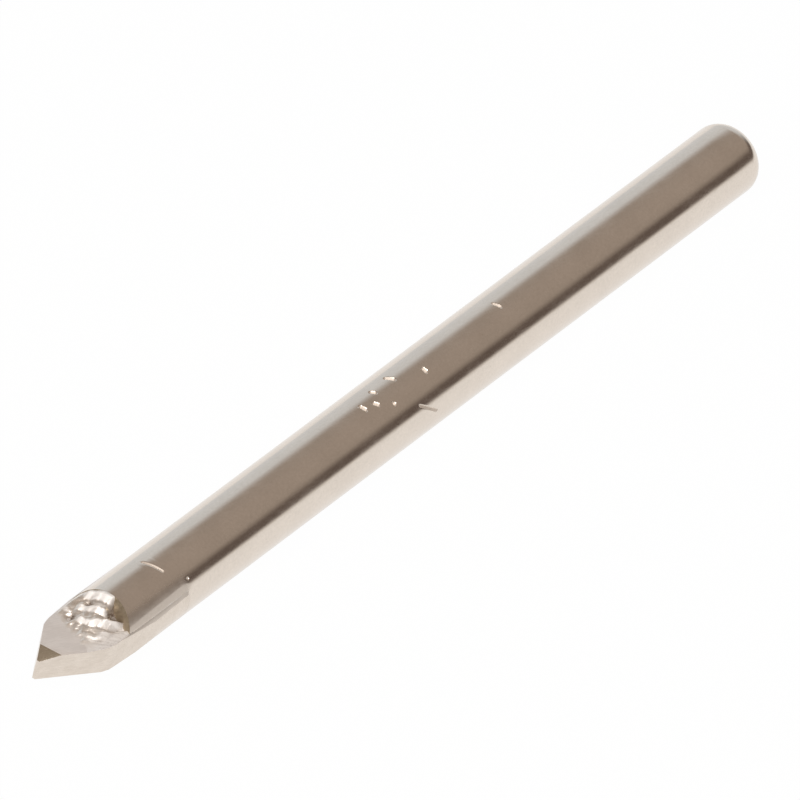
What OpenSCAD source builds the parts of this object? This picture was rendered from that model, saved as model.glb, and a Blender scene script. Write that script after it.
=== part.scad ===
// Glass and tile drill bit: a round plated shank with a spear-pointed carbide plate brazed into its slotted front end.
// The bit lies along X. The middle of its flat back end is the origin, and the point is at the +X end.
// Z is square to the carbide plate, Y runs across its width. Lengths in millimetres, angles in degrees.

/* [Bit] */
// overall length, from the back end to the point
overall_length = 70; // [55:1:120]

/* [Shank] */
// diameter of the round shank that the chuck grips
shank_d = 4.8; // [4:0.1:6]
// rounding of the shank's back edge
end_radius = 1.2; // [0.3:0.1:1.6]
// how much the slotted head narrows in radius towards the point
head_taper = 0.04; // [0.02:0.01:0.1]
// distance from the point back to where the cheeks begin
cheek_setback = 6.2; // [5.4:0.1:8]
// slope of the cheeks' front ends, measured from the axis
cheek_slope = 65; // [45:1:85]
// distance from the point back to where the chip flats end
chip_flat_end = 11; // [9:0.1:14]
// depth of each chip flat
chip_flat_depth = 0.025; // [0.02:0.005:0.06]
// direction in which the chip flat faces, turned from the plate's face
chip_flat_angle = 64; // [58:0.5:70]

/* [Carbide tip] */
// cutting diameter, at the front of the plate's ground edges
cutting_d = 5; // [4.2:0.1:6.4]
// how much the plate's ground edges narrow in radius towards the back
back_taper = 0.08; // [0.02:0.01:0.09]
// length of the carbide plate
plate_length = 11.2; // [10:0.1:16]
// thickness of the carbide plate
plate_thickness = 1.85; // [1.4:0.05:2.2]
// angle between the two cutting lips
point_angle = 66; // [58:1:80]
// how much less the upper lip slopes than the mean, and the lower lip more
point_skew = 1.5; // [0:0.5:3]
// width of the short chisel edge between the lips
chisel_width = 0.2; // [0.1:0.05:0.3]
// turn of the lip grind about the axis, which gives each lip its relief
lip_turn = 4.5; // [2:0.5:8]
// how far the point was ground off the axis
point_offset = 0.45; // [0:0.05:0.5]
// rounding of the shoulders between the lips and the plate's edges
shoulder_radius = 3; // [2:0.1:5]
// how far inside the cutting corner the shoulder's rounding ends
shoulder_inset = 0.15; // [0.05:0.05:0.3]
// slope at which the shoulders run out into the plate's edges
shoulder_relief = 3; // [2:1:8]
// distance behind the point at which the point gash runs out on the plate's upper face
gash_length = 1; // [0.6:0.05:1.2]
// slope of the point gash down towards the point
gash_slope = 20; // [14:1:30]
// skew of the point gash across the plate
gash_skew = 6; // [0:1:12]

/* [Braze] */
// braze gap on each side of the plate and behind its end
braze_gap = 0.05; // [0.03:0.01:0.1]
// distance from the point back to the foot of the braze fillet, in the middle of the plate
fillet_foot = 3.1; // [2.6:0.1:4]
// skew of the fillet's foot across the plate
fillet_skew = 20; // [0:1:25]
// how far the fillet stands over the cheek's edge before it is ground flush
fillet_rise = 0.1; // [0.05:0.05:0.2]

/* [Hidden] */
$fn = 96;
shank_r = shank_d / 2;
cutting_r = cutting_d / 2;
plate_half = plate_thickness / 2;
slot_half = plate_half + braze_gap;
slot_end = plate_length + braze_gap;
rod_length = overall_length - slot_end;
upper_slope = point_angle / 2 - point_skew;
lower_slope = point_angle / 2 + point_skew;
upper_ridge = chisel_width / 2 + point_offset;
lower_ridge = chisel_width / 2 - point_offset;
ridge_x = -chisel_width / (tan(upper_slope) + tan(lower_slope));
corner_reach = sqrt(pow(cutting_r, 2) - pow(plate_half, 2));
shoulder_start = point_angle / 2 - 4;
shoulder_y = corner_reach - shoulder_inset - shoulder_radius * cos(shoulder_relief);
shoulder_front = shoulder_y + shoulder_radius * cos(shoulder_start);
fillet_slope = atan((shank_r + fillet_rise - plate_half) / (cheek_setback - fillet_foot));
shoulder_steps = 12;
big = 4 * cutting_d;

// Places what is drawn from the point backwards, with the distance behind the point along +X.
module from_point() {
    translate([overall_length, 0, 0])
        rotate([0, 0, 180])
            children();
}

// Copies a ground feature to the other side, half a turn about the axis.
module both_sides() {
    children();
    rotate([180, 0, 0])
        children();
}

// Half profile of the round rod: radius across, length upwards, with the rounded back edge.
module rod_profile() {
    square([shank_r - end_radius, rod_length]);
    translate([0, end_radius])
        square([shank_r, rod_length - end_radius]);
    translate([shank_r - end_radius, end_radius])
        intersection() {
            circle(r = end_radius);
            translate([0, -end_radius])
                square([end_radius, end_radius]);
        }
}

// Round rod with its rounded back end.
module rod() {
    rotate([0, 90, 0])
        rotate_extrude()
            rod_profile();
}

// Slightly tapered head, from the point back to the slot's end.
module head_cone() {
    rotate([0, 90, 0])
        cylinder(r1 = shank_r - head_taper, r2 = shank_r, h = slot_end);
}

// Slot for the plate, open at the front.
module slot() {
    translate([0, -big / 2, -slot_half])
        cube([slot_end, big, 2 * slot_half]);
}

// Wedge that slopes the front end of one cheek.
module cheek_cut() {
    translate([cheek_setback, -big / 2, shank_r])
        rotate([0, 90 - cheek_slope, 0])
            translate([-big, 0, -big / 2])
                cube([big, big, big]);
}

// Cutter for one chip flat.
module chip_flat_cut() {
    rotate([chip_flat_angle, 0, 0])
        translate([0, -big / 2, shank_r - chip_flat_depth])
            cube([chip_flat_end, big, big]);
}

// Rod slotted for the plate, with sloped cheeks and chip flats.
module shank() {
    color([0.72, 0.69, 0.64])
        difference() {
            union() {
                rod();
                from_point()
                    head_cone();
            }
            from_point() {
                slot();
                both_sides() {
                    cheek_cut();
                    chip_flat_cut();
                }
            }
        }
}

// Distance behind the point at which a lip meets its shoulder.
function shoulder_place(ridge, slope) = (shoulder_front - ridge) / tan(slope);

// Points of a round shoulder, from the lip to its run-out well outside the plate, on the +Y side of the point.
function shoulder(place) = concat(
    [
        for (step = [0 : shoulder_steps])
            let (slope = shoulder_start + (shoulder_relief - shoulder_start) * step / shoulder_steps)
                [
                    place + shoulder_radius * (sin(shoulder_start) - sin(slope)),
                    shoulder_y + shoulder_radius * cos(slope)
                ]
    ],
    [[place + (cutting_d - corner_reach + shoulder_inset) / tan(shoulder_relief), cutting_d]]
);

// The same points on the -Y side, in the other order.
function other_side(points) = [for (i = [len(points) - 1 : -1 : 0]) [points[i][0], -points[i][1]]];

// Volume between the two lips, which would meet in front of the chisel edge.
module between_lips() {
    translate([ridge_x, point_offset, 0])
        rotate([lip_turn, 0, 0])
            translate([0, upper_ridge + ridge_x * tan(upper_slope) - point_offset, -big / 2])
                linear_extrude(height = big)
                    polygon([[0, 0], [big, big * tan(upper_slope)], [big, -big * tan(lower_slope)]]);
}

// Volume between the two round shoulders.
module between_shoulders() {
    upper = shoulder_place(upper_ridge, upper_slope);
    lower = shoulder_place(lower_ridge, lower_slope);
    translate([0, 0, -big / 2])
        linear_extrude(height = big)
            polygon(concat(
                [[(upper + lower) / 2 - shoulder_front / tan(shoulder_start), (lower - upper) / 2 * tan(shoulder_start)]],
                shoulder(upper),
                other_side(shoulder(lower))
            ));
}

// Volume inside the lip and shoulder grinds, drawn from the point backwards.
module lip_wedge() {
    intersection() {
        between_lips();
        between_shoulders();
    }
}

// Plate with its round edges ground to a slight back taper, before the lips are ground.
module plate_blank() {
    intersection() {
        rotate([0, 90, 0])
            cylinder(r1 = cutting_r, r2 = cutting_r - back_taper, h = plate_length);
        translate([0, -cutting_d, -plate_half])
            cube([plate_length, 2 * cutting_d, plate_thickness]);
    }
}

// Cutter for the point gash.
module gash_cut() {
    translate([gash_length, 0, plate_half])
        rotate([0, 0, gash_skew])
            rotate([0, -gash_slope, 0])
                translate([-big / 2, -big / 2, 0])
                    cube([big, big, big]);
}

// Carbide plate drawn from the point backwards.
module plate() {
    difference() {
        intersection() {
            plate_blank();
            lip_wedge();
        }
        translate([0, point_offset, 0])
            gash_cut();
        both_sides()
            chip_flat_cut();
    }
}

// Spear-pointed carbide plate in its place at the front of the bit.
module carbide_tip() {
    color([0.62, 0.6, 0.58])
        from_point()
            plate();
}

// Fillet on one face of the plate, before it is ground flush: it rises from its skewed foot to the cheek's edge.
module fillet_blank() {
    difference() {
        translate([0, -big / 2, plate_half])
            cube([cheek_setback, big, shank_r]);
        translate([fillet_foot, 0, plate_half])
            rotate([0, 0, -fillet_skew])
                rotate([0, -fillet_slope, 0])
                    translate([-big, -big / 2, 0])
                        cube([2 * big, big, big]);
    }
}

// Braze that fills the gap around the plate and stands as a fillet in front of each cheek.
module braze() {
    color([0.8, 0.78, 0.74])
        difference() {
            from_point()
                difference() {
                    intersection() {
                        union() {
                            translate([cheek_setback - fillet_rise, 0, 0])
                                slot_fill();
                            both_sides()
                                fillet_blank();
                        }
                        head_cone();
                        lip_wedge();
                    }
                    plate();
                    both_sides()
                        chip_flat_cut();
                }
            shank();
        }
}

// Filling of the closed part of the slot, as far as the cheeks cover it.
module slot_fill() {
    translate([0, -big / 2, -slot_half])
        cube([slot_end - cheek_setback + fillet_rise, big, 2 * slot_half]);
}

shank();
carbide_tip();
braze();
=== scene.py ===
"""Looks of a glass and tile drill bit: plated shank, ground carbide plate and rough braze, in a plain studio.

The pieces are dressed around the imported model, in the same frame. The bit lies along X with its point at the
+X end, Z is square to the carbide plate and Y runs across it. Sizes are in millimetres until a mesh is
finished.
"""

import logging
import math
from dataclasses import dataclass
from enum import Enum
from typing import Any, Iterable, Iterator

import bmesh
import bpy
from mathutils import Matrix, Vector, noise

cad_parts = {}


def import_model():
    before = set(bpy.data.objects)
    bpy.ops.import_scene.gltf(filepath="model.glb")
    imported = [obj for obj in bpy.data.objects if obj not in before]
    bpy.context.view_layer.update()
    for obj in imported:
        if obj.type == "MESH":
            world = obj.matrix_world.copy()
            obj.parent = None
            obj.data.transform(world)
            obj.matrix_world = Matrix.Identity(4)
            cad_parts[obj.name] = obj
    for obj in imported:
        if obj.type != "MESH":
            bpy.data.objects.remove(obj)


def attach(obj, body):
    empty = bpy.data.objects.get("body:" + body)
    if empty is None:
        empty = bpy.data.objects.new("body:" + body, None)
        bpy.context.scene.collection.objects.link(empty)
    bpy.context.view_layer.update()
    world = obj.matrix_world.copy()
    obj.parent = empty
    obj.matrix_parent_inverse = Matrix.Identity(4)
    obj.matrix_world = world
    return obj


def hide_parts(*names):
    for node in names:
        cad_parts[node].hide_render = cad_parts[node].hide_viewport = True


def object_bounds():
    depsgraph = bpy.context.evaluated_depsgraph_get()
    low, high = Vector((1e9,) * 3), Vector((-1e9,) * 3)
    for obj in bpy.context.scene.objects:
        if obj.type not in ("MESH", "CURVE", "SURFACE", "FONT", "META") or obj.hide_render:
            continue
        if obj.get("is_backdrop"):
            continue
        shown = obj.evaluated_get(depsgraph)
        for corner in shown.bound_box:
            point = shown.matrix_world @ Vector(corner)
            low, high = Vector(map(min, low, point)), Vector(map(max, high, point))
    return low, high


log = logging.getLogger("drill_bit")

Triple = tuple[float, float, float]
Colour = tuple[float, float, float]
Pair = tuple[float, float]
Plane = tuple[Vector, Vector]
Stops = tuple[tuple[float, Colour], ...]
Socket = bpy.types.NodeSocket

MM = 0.001
WHITE: Colour = (1.0, 1.0, 1.0)
# Tolerances of cuts, merges and tests
ON_PLANE = 1e-5
MERGE = 1e-4
NEAR = 1e-3
TINY = 1e-6


class Side(Enum):
    """The two faces of the carbide plate; the value turns a feature of the upper face to this one."""

    UPPER = 0.0
    LOWER = math.pi


class Slot(Enum):
    """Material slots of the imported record."""

    STEEL = "nickel_plated_steel"
    CARBIDE = "ground_carbide"
    BRAZE = "silver_braze"


def clamp(value: float) -> float:
    """A value kept between 0 and 1."""
    return max(0.0, min(1.0, value))


class Graph:
    """Adds and links the nodes of one material or world."""

    GRAIN_ROUGHNESS = 0.55

    def __init__(self, tree: bpy.types.NodeTree) -> None:
        """Empties the tree and keeps it."""
        self.tree = tree
        tree.nodes.clear()

    def add(self, kind: str, inputs: dict[Any, Any] | None = None, **settings: Any) -> bpy.types.Node:
        """Adds a node.

        Args:
            kind: The node's Blender type, without the ShaderNode in front.
            inputs: Values or sockets for the node's inputs, by name or number.
            settings: The node's own settings.

        Returns:
            The new node.
        """
        node = self.tree.nodes.new("ShaderNode" + kind)
        for name, value in settings.items():
            setattr(node, name, value)
        for key, value in (inputs or {}).items():
            if isinstance(value, Socket):
                self.tree.links.new(value, node.inputs[key])
            else:
                node.inputs[key].default_value = value
        return node

    def math(self, operation: str, first: Any, second: Any, limit: bool = False) -> Socket:
        """Adds a Math node and returns its value."""
        return self.add("Math", {0: first, 1: second}, operation=operation, use_clamp=limit).outputs[0]

    def attribute(self, name: str) -> Socket:
        """Value of one of the mesh's own attributes."""
        return self.add("Attribute", attribute_name=name).outputs["Fac"]

    def ramp(self, value: Any, stops: Iterable[tuple[float, Colour]]) -> Socket:
        """Adds a colour ramp.

        Args:
            value: The socket that is looked up.
            stops: Positions and their colours.

        Returns:
            The colour socket.
        """
        node = self.add("ValToRGB", {0: value})
        band = node.color_ramp
        for count, (place, colour) in enumerate(stops):
            stop = band.elements[count] if count < 2 else band.elements.new(place)
            stop.position = place
            stop.color = (*colour, 1.0)
        return node.outputs["Color"]

    def spread(self, value: Any, source: Pair, target: Pair = (0.0, 1.0), smooth: bool = False) -> Socket:
        """Maps a value from one range to another and returns it."""
        curve = "SMOOTHSTEP" if smooth else "LINEAR"
        inputs = dict(enumerate((value, *source, *target)))
        return self.add("MapRange", inputs, interpolation_type=curve).outputs[0]

    def tone(self, value: Any, source: Pair, low: Colour, high: Colour) -> Socket:
        """Runs from one colour to another while a value crosses a range."""
        return self.ramp(self.spread(value, source), ((0.0, low), (1.0, high)))

    def blend(self, share: Any, first: Any, second: Any) -> Socket:
        """Mixes two colours.

        Args:
            share: The second colour's share, a number or a socket.
            first: The first colour or its socket.
            second: The second colour or its socket.

        Returns:
            The mixed colour's socket.
        """
        first, second = ((*part, 1.0) if isinstance(part, tuple) else part for part in (first, second))
        return self.add("Mix", {0: share, 6: first, 7: second}, data_type="RGBA").outputs[2]

    def millimetres(self, scale: Triple = (1.0, 1.0, 1.0), turn: Triple = (0.0, 0.0, 0.0)) -> Socket:
        """Object coordinates in millimetres.

        Args:
            scale: How a pattern is stretched along each axis; more is finer.
            turn: How the pattern is turned, in radians.

        Returns:
            The vector socket.
        """
        place = self.add("TexCoord").outputs["Object"]
        sized = tuple(part / MM for part in scale)
        turned = self.add("Mapping", {"Vector": place, "Rotation": turn})
        return self.add("Mapping", {"Vector": turned.outputs[0], "Scale": sized}).outputs[0]

    def grain(self, where: Any, scale: float = 1.0, detail: float = 3.0) -> Socket:
        """Noise value at a place, about 0.5 on average."""
        return self.add("TexNoise", {"Vector": where, "Scale": scale, "Detail": detail,
                                     "Roughness": self.GRAIN_ROUGHNESS}).outputs[0]

    def surface(self, inputs: dict[str, Any], relief: Any, strength: float, depth: float) -> None:
        """Adds the shader of a piece, with its bump, and the material's output.

        Args:
            inputs: Values or sockets for the shader's inputs, by name.
            relief: The height of the bump.
            strength: How strongly the bump shows.
            depth: The bump's depth in millimetres.
        """
        bump = self.add("Bump", {"Strength": strength, "Distance": depth * MM, "Height": relief})
        shader = self.add("BsdfPrincipled", {**inputs, "Normal": bump.outputs[0]})
        self.add("OutputMaterial", {"Surface": shader.outputs[0]})


def new_material(name: str) -> tuple[bpy.types.Material, Graph]:
    """Makes an empty node material.

    Args:
        name: The material's name.

    Returns:
        The material and its graph.
    """
    material = bpy.data.materials.new(name)
    material.use_nodes = True
    return material, Graph(material.node_tree)


@dataclass(frozen=True)
class NickelFinish:
    """Bright nickel plating on turned steel, lightly worn.

    It is rougher where the mesh's attributes "ground" and "struck" say so.
    """

    name: str = "nickel_plating"
    bright: Colour = (0.765, 0.685, 0.605)
    dull: Colour = (0.70, 0.625, 0.55)
    stain: Colour = (0.40, 0.33, 0.27)
    smooth: float = 0.13
    worn: float = 0.21
    ground: float = 0.42
    struck: float = 0.66
    line_turn: float = 0.25
    line_depth: float = 0.5
    mottle_depth: float = 0.5
    pit_scale: float = 2.4
    pit_edge: Pair = (0.03, 0.075)
    pit_stain: float = 0.5
    pit_depth: float = 0.6

    def make(self) -> bpy.types.Material:
        """Builds the material.

        Returns:
            The material.
        """
        material, graph = new_material(self.name)
        plain = graph.millimetres()
        cloud = graph.grain(plain, scale=0.45, detail=4.0)
        mottle = graph.grain(plain, scale=5.5)
        turned = graph.grain(graph.millimetres(scale=(9.0, 0.5, 0.5)), detail=2.0)
        hair = graph.grain(graph.millimetres(scale=(0.5, 7.0, 7.0), turn=(0.0, 0.0, self.line_turn)))
        dots = graph.add("TexVoronoi", {"Vector": plain, "Scale": self.pit_scale}).outputs["Distance"]
        pit = graph.spread(dots, self.pit_edge, (1.0, 0.0))
        tone = graph.tone(graph.math("ADD", cloud, mottle), (0.7, 1.3), self.dull, self.bright)
        tone = graph.blend(graph.math("MULTIPLY", pit, self.pit_stain), tone, self.stain)
        wear = graph.spread(graph.math("ADD", cloud, hair), (0.8, 1.25), (self.smooth, self.worn))
        ground = graph.math("MULTIPLY", graph.attribute("ground"), self.ground - self.worn)
        struck = graph.math("MULTIPLY", graph.attribute("struck"), self.struck)
        rough = graph.math("MAXIMUM", graph.math("ADD", wear, ground), struck)
        lines = graph.math("MULTIPLY", turned, self.line_depth)
        relief = graph.math("ADD", lines, graph.math("MULTIPLY", mottle, self.mottle_depth))
        relief = graph.math("SUBTRACT", relief, graph.math("MULTIPLY", pit, self.pit_depth))
        graph.surface({"Base Color": tone, "Metallic": 1.0, "Roughness": rough}, relief,
                      strength=0.25, depth=0.004)
        return material


# Darker, browner steel for the cheeks' sloped ends: its colour is painted shade of the gap between the cheeks
# and the braze.
CHEEK_PAINTED_SHADE = NickelFinish("cheek_painted_shade_steel", (0.54, 0.45, 0.33), (0.34, 0.275, 0.19),
                          smooth=0.35, worn=0.5)


@dataclass(frozen=True)
class CarbideFinish:
    """Finely ground tungsten carbide, with faint wheel lines. Its copies below differ in colour as painted
    light and shade.
    """

    name: str
    light: Colour
    deep: Colour
    fine: float
    coarse: float
    metal: float = 1.0
    line_turn: float = 0.5
    line_depth: float = 0.7
    grit_depth: float = 0.3

    def make(self) -> bpy.types.Material:
        """Builds the material.

        Returns:
            The material.
        """
        material, graph = new_material(self.name)
        plain = graph.millimetres()
        lines = graph.grain(graph.millimetres(scale=(1.2, 14.0, 14.0), turn=(0.0, 0.0, self.line_turn)),
                            detail=2.0)
        cloud = graph.grain(plain, scale=1.4, detail=4.0)
        grit = graph.grain(plain, scale=16.0, detail=2.0)
        tone = graph.tone(graph.math("ADD", cloud, lines), (0.75, 1.25), self.deep, self.light)
        rough = graph.spread(graph.math("ADD", lines, grit), (0.7, 1.3), (self.fine, self.coarse))
        relief = graph.math("ADD", graph.math("MULTIPLY", lines, self.line_depth),
                            graph.math("MULTIPLY", grit, self.grit_depth))
        graph.surface({"Base Color": tone, "Metallic": self.metal, "Roughness": rough}, relief,
                      strength=0.3, depth=0.006)
        return material


# One carbide in four copies whose colours are painted light and shade: lightest on the plate's faces, browner
# on the lips and flats, darkest on the gash.
CARBIDE_FACE_PAINTED_LIGHT = CarbideFinish("carbide_face_painted_light", (0.90, 0.85, 0.81), (0.80, 0.75, 0.71), 0.44, 0.54, metal=0.7)
CARBIDE_FLAT_PAINTED_SHADE = CarbideFinish("carbide_flat_painted_shade", (0.72, 0.65, 0.58), (0.64, 0.57, 0.50), 0.32, 0.4)
CARBIDE_LIP_PAINTED_SHADE = CarbideFinish("carbide_lip_painted_shade", (0.76, 0.68, 0.60), (0.68, 0.60, 0.52), 0.16, 0.24)
CARBIDE_GASH_PAINTED_SHADE = CarbideFinish("carbide_gash_painted_shade", (0.60, 0.53, 0.42), (0.52, 0.46, 0.36), 0.2, 0.28)


@dataclass(frozen=True)
class BrazeFinish:
    """Frozen silver braze: frosted white on its ripples, with brown flux left in its hollows, whose dark
    colour is also painted shade.

    The mesh's attributes "frost" and "hollow" say where these are.
    """

    silver: Colour = (0.90, 0.85, 0.79)
    warm: Colour = (0.78, 0.69, 0.60)
    frost: Colour = (0.90, 0.87, 0.84)
    # The dark flux colour is flux residue, and also painted shade where it fills the pits and the ripples'
    # feet.
    flux: Colour = (0.14, 0.095, 0.065)
    frost_metal: float = 0.3
    flux_metal: float = 0.4
    flux_least: float = 0.4
    bright: float = 0.22
    crusted: float = 0.65
    crust_share: float = 0.4

    def make(self) -> bpy.types.Material:
        """Builds the material.

        Returns:
            The material.
        """
        material, graph = new_material("silver_braze")
        plain = graph.millimetres()
        cloud = graph.grain(plain, scale=1.6, detail=4.0)
        crust = graph.grain(plain, scale=9.0, detail=4.0)
        frosted = graph.attribute("frost")
        metal = graph.tone(cloud, (0.35, 0.65), self.warm, self.silver)
        patchy = graph.spread(crust, (0.3, 0.6), (self.flux_least, 1.0))
        # Flux colour: flux residue, with painted shade in the pits and along the ripples' feet.
        flux_and_shade = graph.math("MULTIPLY", graph.attribute("hollow"), patchy, limit=True)
        tone = graph.blend(flux_and_shade, graph.blend(frosted, metal, self.frost), self.flux)
        matt = graph.math("ADD", graph.math("MAXIMUM", flux_and_shade, frosted),
                          graph.math("MULTIPLY", crust, self.crust_share))
        rough = graph.spread(matt, (0.1, 1.2), (self.bright, self.crusted))
        clean = graph.spread(flux_and_shade, (0.0, 1.0), (1.0, self.flux_metal))
        metallic = graph.math("MULTIPLY", clean, graph.spread(frosted, (0.0, 1.0), (1.0, self.frost_metal)))
        graph.surface({"Base Color": tone, "Metallic": metallic, "Roughness": rough}, crust,
                      strength=0.4, depth=0.02)
        return material


def grind(bm: bmesh.types.BMesh, point: Vector, normal: Vector) -> None:
    """Grinds a closed mesh flat along a plane: takes away what lies in front of it and closes the cut.

    Args:
        bm: The mesh.
        point: A point of the plane.
        normal: The plane's outward direction.
    """
    geom = bm.verts[:] + bm.edges[:] + bm.faces[:]
    bmesh.ops.bisect_plane(bm, geom=geom, dist=ON_PLANE, plane_co=point, plane_no=normal, clear_outer=True)
    rim = [edge for edge in bm.edges if edge.is_boundary]
    if rim:
        bmesh.ops.edgeloop_fill(bm, edges=rim)


def lathe(profile: list[Pair], steps: int) -> bmesh.types.BMesh:
    """Turns a half profile about the X axis.

    Args:
        profile: Places along X and their radii.
        steps: Number of sides.

    Returns:
        The closed mesh.
    """
    bm = bmesh.new()
    chain = [bm.verts.new((along, 0.0, radius)) for along, radius in profile]
    links = [bm.edges.new(pair) for pair in zip(chain, chain[1:])]
    bmesh.ops.spin(bm, geom=chain + links, cent=(0, 0, 0), axis=(1, 0, 0), angle=2 * math.pi, steps=steps,
                   use_merge=True)
    bmesh.ops.remove_doubles(bm, verts=bm.verts[:], dist=MERGE)
    bmesh.ops.recalc_face_normals(bm, faces=bm.faces[:])
    return bm


def join(whole: bmesh.types.BMesh, part: bmesh.types.BMesh) -> None:
    """Adds one mesh to another.

    Args:
        whole: The mesh that grows.
        part: The mesh that is added and used up.
    """
    mesh = bpy.data.meshes.new("part")
    part.to_mesh(mesh)
    part.free()
    whole.from_mesh(mesh)
    bpy.data.meshes.remove(mesh)


def finish_piece(bm: bmesh.types.BMesh, name: str, crease: float, material: bpy.types.Material,
                 node: str) -> bpy.types.Object:
    """Turns a mesh in millimetres into a piece of the bit that stands for a CAD node.

    Args:
        bm: The mesh, which is used up.
        name: The piece's name.
        crease: Angle in degrees above which an edge stays sharp.
        material: The piece's finish.
        node: The CAD node that it stands for.

    Returns:
        The piece's object.
    """
    bmesh.ops.scale(bm, vec=(MM, MM, MM), verts=bm.verts[:])
    bm.normal_update()
    limit = math.radians(crease)
    for face in bm.faces:
        face.smooth = True
    for edge in bm.edges:
        edge.smooth = edge.calc_face_angle(0.0) < limit
    mesh = bpy.data.meshes.new(name)
    bm.to_mesh(mesh)
    bm.free()
    mesh.materials.append(material)
    piece = bpy.data.objects.new(name, mesh)
    bpy.context.scene.collection.objects.link(piece)
    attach(piece, "root")
    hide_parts(node)
    log.info("%s: %d faces", name, len(mesh.polygons))
    return piece


@dataclass(frozen=True)
class Bit:
    """Sizes that the pieces of the bit share, drawn from the point backwards."""

    length: float = 70.0
    shank_r: float = 2.4
    head_taper: float = 0.04
    plate_length: float = 11.2
    plate_half: float = 0.925
    gap: float = 0.05
    cheek_setback: float = 6.2
    cheek_slope: float = 65.0
    cutting_r: float = 2.499
    back_taper: float = 0.08
    upper_slope: float = 31.5
    lower_slope: float = 34.5
    chisel_half: float = 0.1
    lip_turn: float = 4.5
    point_offset: float = 0.45
    shoulder_r: float = 3.0
    shoulder_inset: float = 0.15
    shoulder_start: float = 29.0
    shoulder_relief: float = 3.0
    shoulder_steps: int = 12
    flat_angle: float = 61.5
    flat_depth: float = 0.025
    flat_end: float = 11.0
    flat_run_out: float = 0.6

    @property
    def slot_half(self) -> float:
        """Half the width of the plate's slot."""
        return self.plate_half + self.gap

    @property
    def slot_floor(self) -> float:
        """Place along X of the slot's closed end."""
        return self.length - self.plate_length - self.gap

    def head_radius(self, behind: float) -> float:
        """Radius of the tapered head at a distance behind the point."""
        share = min(behind / (self.length - self.slot_floor), 1.0)
        return self.shank_r - self.head_taper * (1.0 - share)

    def head_height(self, behind: float, across: float, inside: float) -> float:
        """Height over the axis of a surface that lies a little inside the head's skin."""
        radius = self.head_radius(behind) - inside
        return math.sqrt(max(radius * radius - across * across, 0.0))

    def flat_share(self, behind: float) -> float:
        """How fully the chip flat is ground at a distance behind the point: 1, and 0 past its run-out."""
        return clamp((self.flat_end + self.flat_run_out - behind) / self.flat_run_out)

    def flat_plane(self, side: Side) -> Plane:
        """The chip flat's plane.

        Args:
            side: The plate's face that the flat lies beside.

        Returns:
            A point of the plane and its outward direction.
        """
        facing = math.radians(self.flat_angle) - side.value
        out = Vector((0.0, math.sin(facing), math.cos(facing)))
        return out * (self.shank_r - self.flat_depth), out

    def lip_planes(self, upper: bool) -> Iterator[Plane]:
        """Planes of one lip grind, from the lip round the shoulder to the plate's edge.

        Args:
            upper: True for the lip towards -Y.

        Yields:
            A point of each plane and its outward direction.
        """
        across, slope = (-1.0, self.upper_slope) if upper else (1.0, self.lower_slope)
        angles = (slope, self.shoulder_start, self.shoulder_relief)
        half, start, relief = (math.radians(angle) for angle in angles)
        turn = Matrix.Rotation(-math.radians(self.lip_turn), 3, "X")
        pivot = Vector((self.length, -self.point_offset, 0.0))
        yield (pivot + turn @ Vector((0.0, across * self.chisel_half, 0.0)),
               turn @ Vector((math.sin(half), across * math.cos(half), 0.0)))
        corner = math.sqrt(self.cutting_r ** 2 - self.plate_half ** 2) - self.shoulder_inset
        middle = corner - self.shoulder_r * math.cos(relief)
        front = middle + self.shoulder_r * math.cos(start)
        ridge = self.chisel_half - across * self.point_offset
        behind = (front - ridge) / math.tan(half) + self.shoulder_r * math.sin(start)
        centre = Vector((self.length - behind, across * middle, 0.0))
        for step in range(self.shoulder_steps + 1):
            angle = start + (relief - start) * step / self.shoulder_steps
            out = Vector((math.sin(angle), across * math.cos(angle), 0.0))
            yield centre + out * self.shoulder_r, out


@dataclass(frozen=True)
class Mark:
    """A nick or scratch across the shank, between two places.

    A place is given along X and as an angle from +Z towards +Y. The mark drops along a ramp on one side and
    rises along a steep wall on the other.
    """

    start: Pair
    end: Pair
    depth: float
    ramp: float = 0.2
    wall: float = 0.12
    tail: float = 0.06
    end_ramp: float = 0.35
    to_point: bool = True

    def window(self, radius: float) -> tuple[float, float, float, float]:
        """Bounds of the mark on the unrolled shank.

        Args:
            radius: The shank's radius.

        Returns:
            The lowest and highest place along X, and the lowest and highest along the arc.
        """
        arcs = [math.radians(turn) * radius for turn in (self.start[1], self.end[1])]
        places = (self.start[0], self.end[0])
        room = self.ramp + self.wall
        return min(places) - room, max(places) + room, min(arcs) - room, max(arcs) + room

    def dent(self, along: float, arc: float, radius: float) -> float:
        """Depth of the mark at a place of the unrolled shank.

        Args:
            along: The place along X.
            arc: The place along the arc.
            radius: The shank's radius.

        Returns:
            The depth.
        """
        first = Vector((self.start[0], math.radians(self.start[1]) * radius))
        run = Vector((self.end[0], math.radians(self.end[1]) * radius)) - first
        over = Vector((run.y, -run.x)).normalized()
        if (over.x > 0) == self.to_point:
            over.negate()
        away = Vector((along, arc)) - first
        share = away.dot(run) / run.length_squared
        spare = self.tail / run.length
        fade = clamp(min(share + spare, 1.0 + spare - share) / (3 * spare))
        reach = away.dot(over)
        if reach < 0:
            profile = max(0.0, 1.0 + reach / self.wall)
        else:
            narrow = self.end_ramp + (1.0 - self.end_ramp) * fade
            profile = max(0.0, 1.0 - reach / (self.ramp * narrow))
        return self.depth * profile * fade * fade * (3 - 2 * fade)


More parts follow.
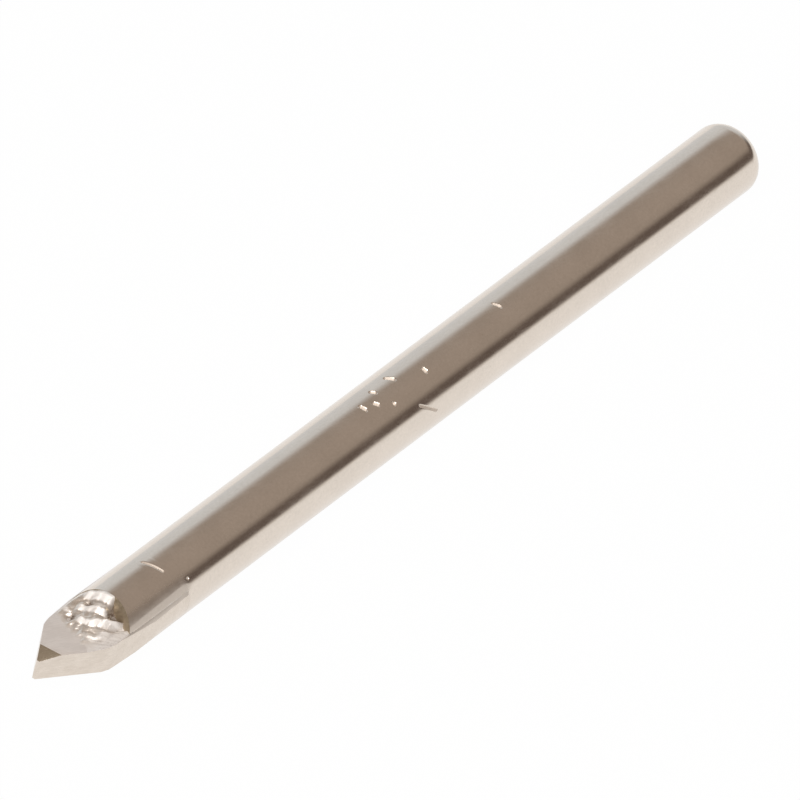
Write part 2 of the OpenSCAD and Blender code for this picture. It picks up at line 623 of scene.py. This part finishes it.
MARKS = (
    Mark((60.17, -14.0), (59.76, 22.0), 0.07, 0.12),
    Mark((25.42, -8.5), (25.26, 8.0), 0.1, 0.12),
    Mark((39.16, -3.5), (39.10, 11.5), 0.2, 0.19),
    Mark((38.35, 5.5), (38.08, 16.5), 0.2, 0.19),
    Mark((37.64, -13.0), (37.38, -2.5), 0.2, 0.19),
    Mark((35.90, -18.0), (35.55, -1.5), 0.2, 0.2),
    Mark((33.44, 7.5), (33.46, 20.0), 0.18, 0.19),
    Mark((37.12, 22.5), (37.12, 30.5), 0.16, 0.17),
    Mark((35.45, 50.0), (34.00, 76.0), 0.04, 0.2, 0.06, to_point=False),
    Mark((58.42, 48.5), (58.48, 52.5), 0.08, 0.18, 0.06, to_point=False),
)


@dataclass
class Shank:
    """The plated rod: rounded back edge, slotted head, ground chip flats and the marks of use.

    Its bands give where the rings of the plain rod start and end, and their pitch: close where a mark lies.
    """

    bit: Bit
    end_radius: float = 1.2
    end_ring: float = 0.6
    steps: int = 288
    corner_steps: int = 10
    bands: tuple[Triple, ...] = ((1.2, 24.4, 1.6), (24.4, 26.0, 0.1), (26.0, 32.0, 1.5), (32.0, 40.0, 0.1),
                                 (40.0, 57.4, 1.45))
    front_pitch: float = 0.135
    head_pitch: float = 0.125
    head_setback: float = 4.6
    flatness: float = 0.88
    ground_half: float = 30.0
    ground_fade: float = 18.0
    struck_gain: float = 4.0
    crease: float = 28.0
    marks: tuple[Mark, ...] = ()

    def profile(self) -> list[Pair]:
        """Half profile of the rod, with close rings where the surface carries detail.

        Returns:
            Places along X and their radii.
        """
        bit = self.bit
        radius = bit.shank_r
        end_flat = radius - self.end_radius
        outline: list[Pair] = [(0.0, 0.0), (0.0, self.end_ring * end_flat), (0.0, end_flat)]
        for count in range(1, self.corner_steps + 1):
            turn = math.pi / 2 * count / self.corner_steps
            outline.append((self.end_radius * (1 - math.cos(turn)),
                            radius - self.end_radius * (1 - math.sin(turn))))
        for start, end, pitch in (*self.bands, (self.bands[-1][1], bit.slot_floor, self.front_pitch)):
            pieces = round((end - start) / pitch)
            outline += [(start + (end - start) * step / pieces, radius) for step in range(1, pieces + 1)]
        front = bit.length - self.head_setback
        rings = round((front - bit.slot_floor) / self.head_pitch)
        for step in range(1, rings + 1):
            along = bit.slot_floor + (front - bit.slot_floor) * step / rings
            outline.append((along, bit.head_radius(bit.length - along)))
        outline.append((front, 0.0))
        return outline

    def build(self, material: bpy.types.Material, cheeks: bpy.types.Material) -> bpy.types.Object:
        """Builds the shank.

        Args:
            material: The plating.
            cheeks: The darker finish of the cheeks' sloped ends, whose colour is painted shade.

        Returns:
            The shank's object.
        """
        bm = lathe(self.profile(), self.steps)
        self.strike_marks(bm)
        self.grind_flats(bm)
        self.slope_cheeks(bm)
        self.cut_slot(bm)
        bm.normal_update()
        # The cheeks' sloped ends take the second material, whose darker colour is painted shade.
        lean = math.sin(math.radians(self.bit.cheek_slope))
        for face in bm.faces:
            sloped = abs(face.normal.x - lean) < NEAR and abs(face.normal.y) < NEAR
            face.material_index = 1 if sloped else 0
        piece = finish_piece(bm, "shank_plated", self.crease, material, "shank")
        piece.data.materials.append(cheeks)
        return piece

    def grind_flats(self, bm: bmesh.types.BMesh) -> None:
        """Grinds the chip flats, still a little crowned, and keeps where they run in an attribute.

        Args:
            bm: The shank's mesh.
        """
        bit = self.bit
        layer = bm.verts.layers.float.new("ground")
        for vert in bm.verts:
            behind = bit.length - vert.co.x
            if behind > bit.flat_end + bit.flat_run_out:
                continue
            share = bit.flat_share(behind)
            reach = bit.shank_r - bit.flat_depth * share
            for side in Side:
                facing = math.radians(bit.flat_angle) + side.value
                out = vert.co.y * math.sin(facing) + vert.co.z * math.cos(facing)
                if out > reach:
                    vert.co.yz *= 1.0 + self.flatness * (reach / out - 1.0)
                cosine = max(-1.0, min(1.0, out / max(vert.co.yz.length, TINY)))
                inside = (self.ground_half - math.degrees(math.acos(cosine))) / self.ground_fade
                vert[layer] = max(vert[layer], clamp(min(share, inside)))

    def slope_cheeks(self, bm: bmesh.types.BMesh) -> None:
        """Slopes the front end of both cheeks.

        Args:
            bm: The shank's mesh.
        """
        bit = self.bit
        slope = math.radians(bit.cheek_slope)
        for side in Side:
            sign = math.cos(side.value)
            grind(bm, Vector((bit.length - bit.cheek_setback, 0.0, sign * bit.shank_r)),
                  Vector((math.sin(slope), 0.0, sign * math.cos(slope))))

    def cut_slot(self, bm: bmesh.types.BMesh) -> None:
        """Cuts the slot for the plate into the head and closes its walls and floor.

        Args:
            bm: The shank's mesh.
        """
        floor, half = self.bit.slot_floor, self.bit.slot_half
        for sign in (1.0, -1.0):
            head = [face for face in bm.faces if all(vert.co.x > floor - NEAR for vert in face.verts)]
            geom = list({item for face in head for item in (*face.verts, *face.edges)}) + head
            bmesh.ops.bisect_plane(bm, geom=geom, dist=ON_PLANE, plane_co=(floor, 0.0, sign * half),
                                   plane_no=(0.0, 0.0, 1.0))
        strip = [face for face in bm.faces
                 if all(vert.co.x > floor - NEAR and abs(vert.co.z) < half + NEAR for vert in face.verts)]
        bmesh.ops.delete(bm, geom=strip, context="FACES")
        for sign in (1.0, -1.0):
            corners = [vert for vert in bm.verts if vert.is_boundary and abs(vert.co.x - floor) < NEAR
                       and abs(vert.co.z - sign * half) < NEAR]
            bmesh.ops.contextual_create(bm, geom=corners)
        for sign in (1.0, -1.0):
            wall = [edge for edge in bm.edges if len(edge.link_faces) < 2
                    and all(abs(vert.co.z - sign * half) < NEAR and vert.co.x > floor - NEAR
                            for vert in edge.verts)]
            bmesh.ops.edgeloop_fill(bm, edges=wall)
        rest = [edge for edge in bm.edges if edge.is_boundary]
        bmesh.ops.edgeloop_fill(bm, edges=rest)
        bmesh.ops.recalc_face_normals(bm, faces=bm.faces[:])

    def strike_marks(self, bm: bmesh.types.BMesh) -> None:
        """Refines the surface round each mark, strikes the mark into it and keeps where in an attribute.

        Args:
            bm: The shank's mesh.
        """
        radius = self.bit.shank_r
        layer = bm.verts.layers.float.new("struck")

        def unrolled(place: Vector) -> Pair:
            """Place along X and along the arc."""
            return place.x, math.atan2(place.y, place.z) * radius

        for mark in self.marks:
            low, high, left, right = mark.window(radius)

            def inside(place: Vector) -> bool:
                """Whether a place on the round surface lies in the mark's window."""
                along, arc = unrolled(place)
                return low < along < high and left < arc < right and place.yz.length > radius / 2

            near = [face for face in bm.faces if inside(face.calc_center_median())]
            edges = list({edge for face in near for edge in face.edges})
            bmesh.ops.subdivide_edges(bm, edges=edges, cuts=2, use_grid_fill=True)
            for vert in bm.verts:
                if inside(vert.co):
                    depth = mark.dent(*unrolled(vert.co), radius)
                    vert.co.yz *= (radius - depth) / vert.co.yz.length
                    vert[layer] = max(vert[layer], min(1.0, self.struck_gain * depth / mark.depth))


@dataclass
class CarbidePlate:
    """The carbide plate: round edges with back taper, two lips ground to a point and a gash beside it."""

    bit: Bit
    gash_length: float = 1.0
    gash_slope: float = 20.0
    gash_skew: float = 6.0
    edge: float = 0.02
    keen_angle: float = 12.0
    facing: float = 0.999
    crease: float = 20.0
    steps: int = 160

    def build(self, sides: bpy.types.Material, lips: bpy.types.Material, flats: bpy.types.Material,
              gash: bpy.types.Material) -> bpy.types.Object:
        """Builds the plate.

        Args:
            sides: The finish of the plate's two faces; its colour, the lightest of the plate, is painted
                light.
            lips: The finish of its ground lips and edges; its darker, browner colour is painted shade.
            flats: The finish of its chip flats; its darker, browner colour is painted shade.
            gash: The finish of its point gash; its colour, the darkest and brownest, is painted shade.

        Returns:
            The plate's object.
        """
        bit = self.bit
        back = bit.length - bit.plate_length
        bm = lathe([(back, 0.0), (back, bit.cutting_r - bit.back_taper), (bit.length, bit.cutting_r),
                    (bit.length, 0.0)], self.steps)
        for sign in (1.0, -1.0):
            grind(bm, Vector((0.0, 0.0, sign * bit.plate_half)), Vector((0.0, 0.0, sign)))
        for upper in (True, False):
            for plane in bit.lip_planes(upper):
                grind(bm, *plane)
        grind(bm, *self.gash())
        for side in Side:
            grind(bm, *bit.flat_plane(side))
        self.ease_edges(bm)
        bm.normal_update()
        ways = [(Vector((0.0, 0.0, 1.0)), 0), (Vector((0.0, 0.0, -1.0)), 0), (self.gash()[1], 3)]
        ways += [(bit.flat_plane(side)[1], 2) for side in Side]
        for face in bm.faces:
            found = (index for way, index in ways if face.normal.dot(way) > self.facing)
            face.material_index = next(found, 1)
        piece = finish_piece(bm, "carbide_plate", self.crease, sides, "carbide_tip")
        for finish in (lips, flats, gash):
            piece.data.materials.append(finish)
        return piece

    def gash(self) -> Plane:
        """The gash's plane.

        Returns:
            A point of the plane and its outward direction.
        """
        bit = self.bit
        slope, skew = math.radians(self.gash_slope), math.radians(self.gash_skew)
        out = Vector((math.cos(skew) * math.sin(slope), math.sin(skew) * math.sin(slope), math.cos(slope)))
        return Vector((bit.length - self.gash_length, -bit.point_offset, bit.plate_half)), out

    def ease_edges(self, bm: bmesh.types.BMesh) -> None:
        """Takes the keenness off the plate's ground edges."""
        sharp = [edge for edge in bm.edges if edge.calc_face_angle(0.0) > math.radians(self.keen_angle)]
        bmesh.ops.bevel(bm, geom=sharp, offset=self.edge, offset_type="OFFSET", affect="EDGES", segments=2,
                        profile=0.5, material=-1, clamp_overlap=True)


@dataclass(frozen=True)
class Ripple:
    """A frozen ripple of braze across the plate: a frosted front up to its crest and a fall behind it.

    The crest runs through places given across the plate and behind the point, from the upper lip down.
    """

    crest: tuple[Pair, ...]
    rise: float
    front: float
    fall: float
    shine: float = 1.0
    end_fade: float = 0.25
    frost_foot: float = 0.08
    frost_over: float = 0.12
    frost_fade: float = 0.1
    stain_and_shade_ahead: float = 0.07
    stain_and_shade_half: float = 0.11

    def reach(self, behind: float, across: float) -> Pair:
        """Where a place lies on the ripple.

        Args:
            behind: Distance behind the point.
            across: Distance across the plate.

        Returns:
            The distance behind the crest, and how far inside the ripple's ends the place lies, from 0 to 1.
        """
        inside = clamp(min(self.crest[0][0] - across, across - self.crest[-1][0]) / self.end_fade)
        for (first, near), (last, far) in zip(self.crest, self.crest[1:]):
            if across > last:
                break
        lean = (far - near) / (last - first)
        return (behind - near - lean * (across - first)) / math.hypot(1.0, lean), inside

    def lift(self, behind: float, across: float) -> float:
        """Height that the ripple adds.

        Args:
            behind: Distance behind the point.
            across: Distance across the plate.

        Returns:
            The height.
        """
        reach, inside = self.reach(behind, across)
        shape = 1.0 + reach / self.front if reach < 0 else 1.0 - reach / self.fall
        return self.rise * max(0.0, shape) * inside

    def frost(self, behind: float, across: float) -> float:
        """How frosted the ripple is at a place, from 0 to 1: all along its front."""
        reach, inside = self.reach(behind, across)
        return self.shine * inside * clamp(min((reach + self.front) / self.frost_foot,
                                               (self.frost_over - reach) / self.frost_fade))

    def stain(self, behind: float, across: float) -> float:
        """How much flux, with painted shade, lies at a place along the foot of the ripple's front, from 0 to
        1.
        """
        reach, inside = self.reach(behind, across)
        return self.shine * inside * clamp(1.0 - abs(reach + self.front + self.stain_and_shade_ahead) / self.stain_and_shade_half)


@dataclass(frozen=True)
class Pit:
    """A shrinkage pit in the braze."""

    behind: float
    across: float
    depth: float
    radius: float

    def lift(self, behind: float, across: float) -> float:
        """Height that the pit takes away at a place."""
        gap = math.hypot(behind - self.behind, across - self.across) / self.radius
        return -self.depth * math.exp(-gap * gap)


@dataclass(frozen=True)
class Wobble:
    """A layer of smooth noise over the plate, with its size, how fine it is each way, and its own draw."""

    size: float
    along: float
    over: float
    draw: float
    start: float = 0.0

    def at(self, along: float, over: float, shift: float) -> float:
        """Value of the layer at a place, on the face that has the given shift."""
        place = Vector((self.start + self.along * along, self.over * over, self.draw + shift))
        return self.size * noise.noise(place)


@dataclass
class Braze:
    """The braze: a thin film round the plate and a rough frozen fillet in front of each cheek.

    The fillet rises from its ragged foot. On the lower side of the plate it is only a thin sheet, which is
    frosted and has streaks of flux.
    """

    bit: Bit
    # The smooth sheet and its foot
    foot: float = 3.1
    foot_skew: float = 0.4
    foot_bend: float = -0.3
    low_skew: float = 0.1
    slope: float = 0.45
    soft: float = 0.05
    soft_limit: float = 30.0
    blunt: float = 0.002
    low_start: float = -0.2
    low_run: float = 1.4
    low_share: float = 0.95
    full_height: float = 0.1
    # The fillet's mesh and its seat on the plate
    pitch: float = 0.035
    front: float = 1.9
    back: float = 6.32
    half_width: float = 2.24
    skin_gap: float = 0.03
    set_back: float = 0.006
    sink: float = 0.012
    bare: float = 0.02
    skirt: float = 0.12
    cheek_gap: float = 0.02
    crease: float = 50.0
    # The film in the slot
    film_lead: float = 0.3
    film_gap: float = 0.004
    film_hollow: float = 0.2
    film_steps: int = 288
    # Unevenness, with another draw on each face
    face_shift: float = 7.0
    wander: tuple[Wobble, ...] = (Wobble(0.2, 0.7, 1.2, 2.0), Wobble(0.16, 1.2, 2.6, 8.0))
    ragged: Wobble = Wobble(0.5, 0.0, 2.4, 0.0, 1.1)
    ragged_half: float = 0.8
    warp: tuple[Wobble, ...] = (Wobble(0.09, 1.5, 1.1, 5.0), Wobble(0.02, 4.0, 4.0, 1.0))
    streak: Wobble = Wobble(1.0, 6.5, 0.9, 3.0)
    streak_way: Pair = (0.8, 0.6)
    speck: Wobble = Wobble(0.3, 9.0, 6.0, 9.0)
    grain: float = 0.018
    # Flux in the hollows, along the ripples, at the foot and on the lower side; in the hollows and along the
    # ripples it is also painted shade
    hollow_gain: float = 8.0
    hollow_grain: float = 1.5
    stain_and_shade_share: float = 0.75
    sheet_flux: float = 0.2
    low_flux: float = 0.3
    low_flux_base: float = 0.5
    low_flux_streak: float = 1.2
    # Frost on the ripples, over all, at the lower rim, at the foot and on the lower side
    frost_streak: float = 0.6
    haze: float = 0.12
    haze_streak: float = 1.2
    rim_start: float = 3.1
    rim_skew: float = 1.35
    rim_fade: float = 0.2
    rim_haze: float = 0.5
    sheet_frost: float = 0.6
    low_frost: float = 0.4
    low_keep: float = 0.7
    ripples: tuple[Ripple, ...] = (
        Ripple(((0.15, 3.2), (-0.4, 3.35), (-0.97, 3.65), (-1.7, 4.35)), 0.09, 0.3, 0.25, 0.45),
        Ripple(((-0.85, 4.0), (-1.5, 4.6), (-2.15, 5.75)), 0.16, 0.5, 0.25, 0.85),
        Ripple(((0.85, 4.1), (-0.1, 4.22), (-0.7, 4.69), (-0.95, 4.9)), 0.15, 0.27, 0.35),
        Ripple(((-0.6, 4.6), (-1.1, 5.04), (-1.5, 5.72), (-1.95, 6.3), (-2.4, 6.8)), 0.36, 0.31, 0.4),
        Ripple(((1.4, 4.85), (0.4, 5.05), (-0.8, 5.35)), 0.16, 0.34, 0.3, 0.8),
        Ripple(((1.5, 5.75), (0.6, 5.95), (-0.5, 6.2)), 0.2, 0.44, 0.25),
        Ripple(((2.1, 4.3), (1.5, 4.42)), 0.05, 0.2, 0.25, 0.8),
    )
    pits: tuple[Pit, ...] = (
        Pit(5.4, -0.75, 0.2, 0.28),
        Pit(5.85, -1.15, 0.2, 0.42),
        Pit(5.2, 0.75, 0.2, 0.2),
        Pit(4.05, 1.15, 0.18, 0.24),
        Pit(5.95, -0.72, 0.2, 0.26),
    )

    def sheet(self, behind: float, across: float, shift: float) -> Pair:
        """The smooth sheet under the ripples.

        Args:
            behind: Distance behind the point.
            across: Distance across the plate, from the axis towards its upper lip.
            shift: The shift of the noise on this face.

        Returns:
            The sheet's rise over the plate, and how far on the lower side the place lies, from 0 to 1.
        """
        low = clamp((self.low_start - across) / self.low_run)
        foot = self.foot + self.foot_skew * max(across, self.foot_bend)
        foot += self.low_skew * max(0.0, self.foot_bend - across)
        wander = sum(layer.at(behind, across, shift) for layer in self.wander)
        near = max(0.0, 1.0 - abs(behind - foot) / self.ragged_half)
        wander += self.ragged.at(behind, across, shift) * near
        swell = self.slope * (1.0 - self.low_share * low) * (behind - foot + wander) / self.soft
        return self.soft * (swell if swell > self.soft_limit else math.log1p(math.exp(swell))), low

    def height(self, behind: float, across: float, side: Side) -> Triple:
        """Height of the frozen fillet over the axis.

        Args:
            behind: Distance behind the point.
            across: Distance across the plate, from the axis towards its upper lip.
            side: The plate's face.

        Returns:
            The height, how deep the place lies in a hollow and how frosted it is, both from 0 to 1.
        """
        bit = self.bit
        shift = self.face_shift * side.value
        rise, low = self.sheet(behind, across, shift)
        lift = clamp(rise / self.full_height)
        place = (behind + sum(layer.at(behind, across, shift) for layer in self.warp), across)
        pits = sum(pit.lift(*place) for pit in self.pits)
        wave = pits + sum(ripple.lift(*place) for ripple in self.ripples)
        long, short = self.streak_way
        fine = self.streak.at(long * behind + short * across, short * behind - long * across, shift)
        fine += self.speck.at(behind, across, shift)
        ceiling = bit.head_height(behind, across, self.skin_gap) - bit.plate_half
        smooth = 0.5 * (rise + ceiling - math.sqrt((rise - ceiling) ** 2 + self.blunt))
        top = bit.plate_half - self.sink + smooth + (wave + self.grain * fine) * lift
        roof = bit.head_height(behind, across, self.skin_gap if behind > bit.cheek_setback else 0.0)
        # The flux colour in the pits and at the ripples' feet is painted shade as well as flux; on the sheet
        # and the lower side it is flux alone.
        stain = max(ripple.stain(*place) for ripple in self.ripples)
        hollow = max(clamp(-self.hollow_gain * (pits + self.hollow_grain * self.grain * fine) * lift),
                     self.stain_and_shade_share * lift * stain,
                     self.sheet_flux * (1.0 - lift),
                     self.low_flux * low * (self.low_flux_base - self.low_flux_streak * fine))
        crest = max(ripple.frost(*place) for ripple in self.ripples)
        rim = low * clamp((self.rim_start - self.rim_skew * across - behind) / self.rim_fade)
        frost = max(crest * clamp(1.0 + self.frost_streak * fine) * lift,
                    (self.haze + self.rim_haze * rim) * (1.0 + self.haze_streak * fine) * lift,
                    (self.sheet_frost + self.low_frost * low) * (1.0 - (1.0 - self.low_keep * low) * lift))
        return min(top, roof), hollow, frost

    def film(self) -> bmesh.types.BMesh:
        """Builds the thin braze film along both faces of the plate and behind its end.

        Returns:
            The film's mesh.
        """
        bit = self.bit
        back, end = bit.slot_floor, bit.length - bit.plate_length
        front = bit.length - bit.cheek_setback + self.film_lead
        inner, outer = bit.plate_half, bit.slot_half
        whole = bmesh.new()
        for low, high, first, last in ((inner, outer, back, front), (-outer, -inner, back, front),
                                       (-inner, inner, back, end)):
            rim = [(place, bit.head_radius(bit.length - place) - self.film_gap) for place in (first, last)]
            part = lathe([(first, 0.0), *rim, (last, 0.0)], self.film_steps)
            grind(part, Vector((0.0, 0.0, high)), Vector((0.0, 0.0, 1.0)))
            grind(part, Vector((0.0, 0.0, low)), Vector((0.0, 0.0, -1.0)))
            for side in Side:
                grind(part, *bit.flat_plane(side))
            join(whole, part)
        for name, amount in (("hollow", self.film_hollow), ("frost", 0.0)):
            layer = whole.verts.layers.float.new(name)
            for vert in whole.verts:
                vert[layer] = amount
        return whole

    def fillet(self, side: Side) -> bmesh.types.BMesh:
        """Builds the fillet on one face of the plate.

        Args:
            side: The plate's face.

        Returns:
            The fillet's mesh.
        """
        bit = self.bit
        bm = bmesh.new()
        rows = round((self.back - self.front) / self.pitch)
        columns = round(2 * self.half_width / self.pitch)
        bmesh.ops.create_grid(bm, x_segments=rows, y_segments=columns, size=0.5)
        for name in ("hollow", "frost"):
            bm.verts.layers.float.new(name)
        hollow_layer, frost_layer = (bm.verts.layers.float[name] for name in ("hollow", "frost"))
        middle = (self.front + self.back) / 2
        for vert in bm.verts:
            behind = middle + vert.co.x * (self.back - self.front)
            across = vert.co.y * 2 * self.half_width
            height, vert[hollow_layer], vert[frost_layer] = self.height(behind, across, side)
            vert.co = (bit.length - behind, -across, height)
        sunk = bit.plate_half - self.bare
        bare = [face for face in bm.faces if all(vert.co.z < sunk for vert in face.verts)]
        bmesh.ops.delete(bm, geom=bare, context="FACES")
        rim = [edge for edge in bm.edges if edge.is_boundary]
        skirt = bmesh.ops.extrude_edge_only(bm, edges=rim)["geom"]
        for item in skirt:
            if isinstance(item, bmesh.types.BMVert):
                item.co.z = bit.plate_half - self.skirt
        bmesh.ops.holes_fill(bm, edges=[edge for edge in bm.edges if edge.is_boundary], sides=0)
        slope = math.radians(bit.cheek_slope)
        bmesh.ops.recalc_face_normals(bm, faces=bm.faces[:])
        grind(bm, Vector((bit.length - bit.cheek_setback - self.cheek_gap, 0.0, bit.shank_r)),
              Vector((-math.sin(slope), 0.0, -math.cos(slope))))
        bmesh.ops.rotate(bm, cent=(0, 0, 0), matrix=Matrix.Rotation(side.value, 3, "X"), verts=bm.verts[:])
        bmesh.ops.recalc_face_normals(bm, faces=bm.faces[:])
        for upper in (True, False):
            for place, out in bit.lip_planes(upper):
                grind(bm, place - out * self.set_back, out)
        grind(bm, *bit.flat_plane(side))
        return bm

    def build(self, material: bpy.types.Material) -> bpy.types.Object:
        """Builds the braze.

        Args:
            material: The braze's finish.

        Returns:
            The braze's object.
        """
        whole = self.film()
        for side in Side:
            join(whole, self.fillet(side))
        return finish_piece(whole, "braze_fillets", self.crease, material, "braze")


@dataclass(frozen=True)
class Studio:
    """White floor, soft overhead lamp, a plain room to reflect and the camera.

    The walls run in colour from just below the horizon to nearly overhead. The lamp's place and size and the
    camera's clip range are in metres.
    """

    lean: float = 41.1
    roll: float = 31.0
    image_right: float = 0.80020
    image_up: float = 0.59973
    distance: float = 1052.0
    lens: float = 776.8
    sensor: float = 36.0
    clip: Pair = (0.05, 20.0)
    aim: float = 35.015
    nudge_right: float = 0.2316
    nudge_up: float = 0.3595
    floor_half: float = 3000.0
    floor_tone: Colour = (0.85, 0.85, 0.85)
    floor_glow: Pair = (0.88, 0.985)
    lamp_place: Triple = (0.66, 0.2, 0.72)
    lamp_size: float = 0.8
    lamp_power: float = 8.0
    wall_rise: Pair = (-0.1, 0.9)
    far_wall: Stops = (
        (0.0, (0.78, 0.83, 0.86)), (0.12, (0.75, 0.79, 0.83)), (0.57, (0.73, 0.76, 0.79)),
        (0.73, (0.37, 0.32, 0.28)), (0.8, (0.38, 0.33, 0.29)), (1.0, (0.41, 0.35, 0.305)),
    )
    near_wall: Stops = (
        (0.0, (1.0, 0.99, 0.96)), (0.09, (1.0, 0.97, 0.93)), (0.21, (0.14, 0.11, 0.095)),
        (0.43, (0.14, 0.11, 0.095)), (0.6, (0.39, 0.335, 0.29)), (1.0, (0.41, 0.35, 0.305)),
    )
    near_turn: Pair = (-0.3, 0.25)
    front_wall: Stops = (
        (0.0, (0.9, 0.88, 0.86)), (0.1, (0.7, 0.66, 0.62)), (0.14, (0.2, 0.155, 0.125)),
        (0.65, (0.2, 0.155, 0.125)), (0.9, (0.45, 0.375, 0.325)), (1.0, (0.45, 0.375, 0.325)),
    )
    front_turn: Pair = (0.1, 0.5)

    def camera(self) -> None:
        """Places the camera, leaning to the bit's point and rolled about its axis from the plate's face."""
        lean, roll = math.radians(self.lean), math.radians(self.roll)
        back = Vector((math.sin(lean), math.cos(lean) * math.sin(roll), math.cos(lean) * math.cos(roll)))
        along = (Vector((-1.0, 0.0, 0.0)) + back * math.sin(lean)) / math.cos(lean)
        over = back.cross(along)
        right = along * self.image_right - over * self.image_up
        up = along * self.image_up + over * self.image_right
        data = bpy.data.cameras.new("camera")
        data.sensor_width = self.sensor
        data.lens = self.lens
        data.clip_start, data.clip_end = self.clip
        camera = bpy.data.objects.new("camera", data)
        nudge = right * self.nudge_right + up * self.nudge_up
        place = Vector((self.aim, 0.0, 0.0)) + nudge + back * self.distance
        turn = Matrix((right, up, back)).transposed()
        camera.matrix_world = Matrix.Translation(place * MM) @ turn.to_4x4()
        bpy.context.scene.collection.objects.link(camera)
        bpy.context.scene.camera = camera

    def floor(self, height: float) -> None:
        """Lays the white floor that the bit lies on.

        Args:
            height: The floor's height in metres.
        """
        bm = bmesh.new()
        bmesh.ops.create_grid(bm, x_segments=2, y_segments=2, size=self.floor_half * MM)
        bmesh.ops.translate(bm, vec=(0.0, 0.0, height), verts=bm.verts[:])
        mesh = bpy.data.meshes.new("floor")
        bm.to_mesh(mesh)
        bm.free()
        material, graph = new_material("floor_white")
        path = graph.add("LightPath").outputs
        seen = graph.math("MAXIMUM", path["Is Camera Ray"], path["Is Glossy Ray"])
        seen = graph.math("MAXIMUM", seen, path["Is Transmission Ray"])
        matt = graph.add("BsdfDiffuse", {"Color": (*self.floor_tone, 1.0)})
        glow = graph.add("Emission", {"Color": (*WHITE, 1.0), "Strength": 1.0})
        share = graph.math("MULTIPLY", seen, graph.spread(path["Is Camera Ray"], (0.0, 1.0), self.floor_glow))
        mixed = graph.add("MixShader", {0: share, 1: matt.outputs[0], 2: glow.outputs[0]})
        graph.add("OutputMaterial", {"Surface": mixed.outputs[0]})
        material.cycles.emission_sampling = "NONE"
        mesh.materials.append(material)
        floor = bpy.data.objects.new("floor", mesh)
        bpy.context.scene.collection.objects.link(floor)
        floor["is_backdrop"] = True

    def lamp(self) -> None:
        """Hangs one wide soft lamp over the bit."""
        data = bpy.data.lights.new("softbox", "AREA")
        data.shape = "DISK"
        data.size = self.lamp_size
        data.energy = self.lamp_power
        lamp = bpy.data.objects.new("softbox", data)
        place = Vector(self.lamp_place)
        facing = (-place).to_track_quat("-Z", "Y").to_matrix().to_4x4()
        lamp.matrix_world = Matrix.Translation(place) @ facing
        bpy.context.scene.collection.objects.link(lamp)

    def room(self) -> None:
        """Makes the room that the metal reflects: pale far wall, warm ceiling, dark near and front walls."""
        world = bpy.data.worlds.new("room")
        world.use_nodes = True
        bpy.context.scene.world = world
        graph = Graph(world.node_tree)
        way = graph.add("SeparateXYZ", {0: graph.add("TexCoord").outputs["Generated"]}).outputs
        rise = graph.spread(way["Z"], self.wall_rise)
        walls = (self.far_wall, self.near_wall, self.front_wall)
        far, near, front = (graph.ramp(rise, wall) for wall in walls)
        colour = graph.blend(graph.spread(way["Y"], self.near_turn, smooth=True), far, near)
        colour = graph.blend(graph.spread(way["X"], self.front_turn, smooth=True), colour, front)
        colour = graph.blend(graph.add("LightPath").outputs["Is Camera Ray"], colour, WHITE)
        glow = graph.add("Background", {"Color": colour, "Strength": 1.0})
        graph.add("OutputWorld", {"Surface": glow.outputs[0]})

    def build(self, floor_height: float) -> None:
        """Sets the whole studio.

        Args:
            floor_height: The floor's height in metres.
        """
        self.camera()
        self.floor(floor_height)
        self.lamp()
        self.room()
        bpy.context.scene.view_settings.view_transform = "Standard"


def main() -> None:
    """Builds the studio, with its floor at the lowest point of the imported model's bounds, and then the bit.
    """
    logging.basicConfig(level=logging.INFO, format="%(name)s: %(message)s")
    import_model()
    cad_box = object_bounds()
    Studio().build(cad_box[0].z)
    bit = Bit()
    Shank(bit, marks=MARKS).build(NickelFinish().make(), CHEEK_PAINTED_SHADE.make())
    CarbidePlate(bit).build(CARBIDE_FACE_PAINTED_LIGHT.make(), CARBIDE_LIP_PAINTED_SHADE.make(), CARBIDE_FLAT_PAINTED_SHADE.make(), CARBIDE_GASH_PAINTED_SHADE.make())
    Braze(bit).build(BrazeFinish().make())


if __name__ == "__main__":
    main()
